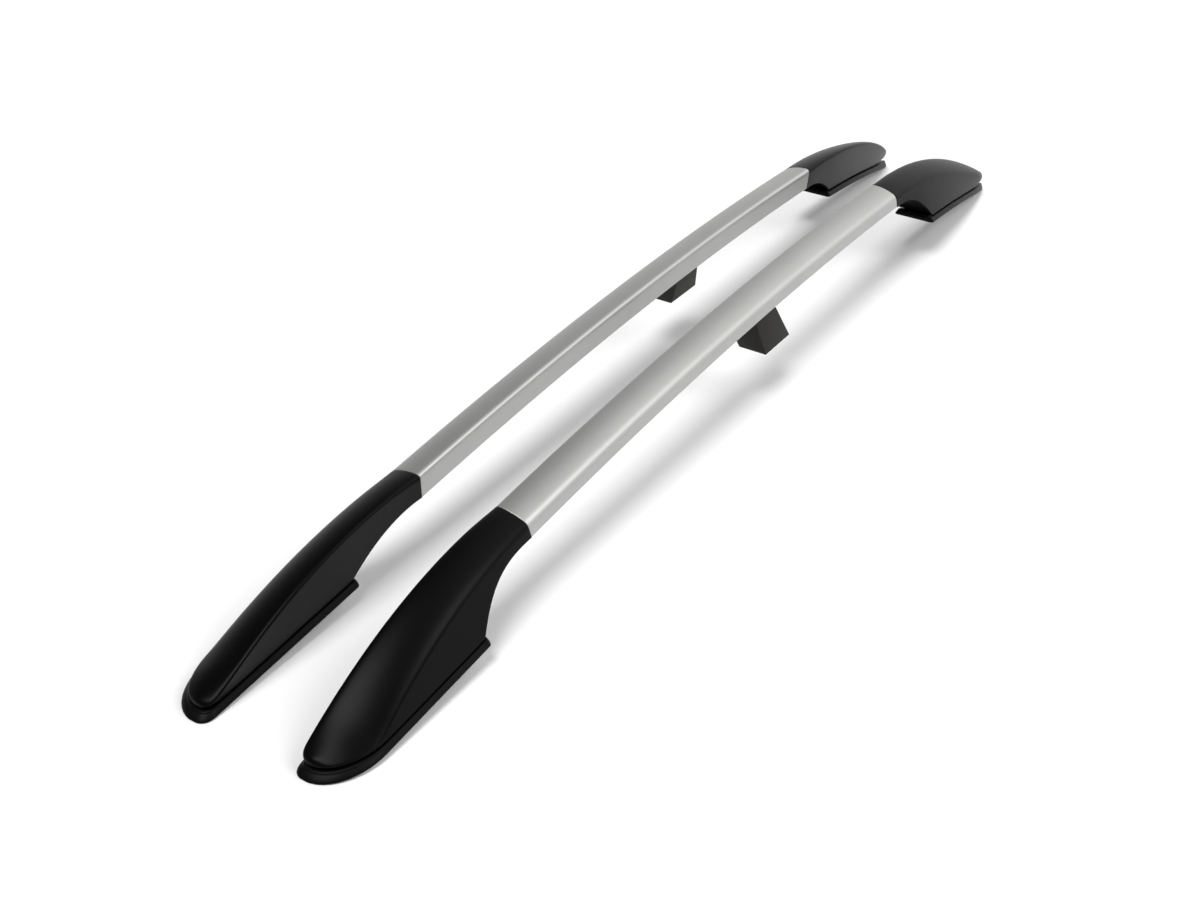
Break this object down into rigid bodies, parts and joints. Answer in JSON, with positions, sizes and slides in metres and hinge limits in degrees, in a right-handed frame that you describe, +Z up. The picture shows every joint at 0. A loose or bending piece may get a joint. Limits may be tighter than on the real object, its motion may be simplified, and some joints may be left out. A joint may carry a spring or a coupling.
{
  "type": "roof side rail pair",
  "caption": "Pair of bowed roof side rails in satin aluminium with moulded black feet on rubber pads and a rubber support block under each rail.",
  "frame": {"origin": "middle of the bounding box at the lowest points of the pads", "axes": "+X forward along the rails, +Y to the car's left, +Z up"},
  "size_m": [1.836, 0.261, 0.1582],
  "materials": {
    "rail_aluminium": "satin clear anodised",
    "shell_plastic": "black, fine moulded grain",
    "pad_rubber": "black, smooth moulded",
    "block_rubber": "dark grey-black, matt",
    "bracket_aluminium": "as cast",
    "zinc_steel": "zinc plated"
  },
  "bodies": {
    "root": {"left_rail": "rail_aluminium", "right_rail": "rail_aluminium", "left_rear_shell": "shell_plastic", "left_front_shell": "shell_plastic", "right_rear_shell": "shell_plastic", "right_front_shell": "shell_plastic", "left_rear_pad": "pad_rubber", "left_front_pad": "pad_rubber", "right_rear_pad": "pad_rubber", "right_front_pad": "pad_rubber", "left_rear_bracket": "bracket_aluminium", "left_front_bracket": "bracket_aluminium", "right_rear_bracket": "bracket_aluminium", "right_front_bracket": "bracket_aluminium", "left_rear_insert": "zinc_steel", "left_front_insert": "zinc_steel", "right_rear_insert": "zinc_steel", "right_front_insert": "zinc_steel", "left_rear_rail_screws": "zinc_steel", "left_front_rail_screws": "zinc_steel", "right_rear_rail_screws": "zinc_steel", "right_front_rail_screws": "zinc_steel", "left_rear_shell_screws": "zinc_steel", "left_front_shell_screws": "zinc_steel", "right_rear_shell_screws": "zinc_steel", "right_front_shell_screws": "zinc_steel", "left_support_block": "block_rubber", "right_support_block": "block_rubber", "left_channel_nut": "zinc_steel", "right_channel_nut": "zinc_steel", "left_block_screw": "zinc_steel", "right_block_screw": "zinc_steel"}
  },
  "joints": []
}
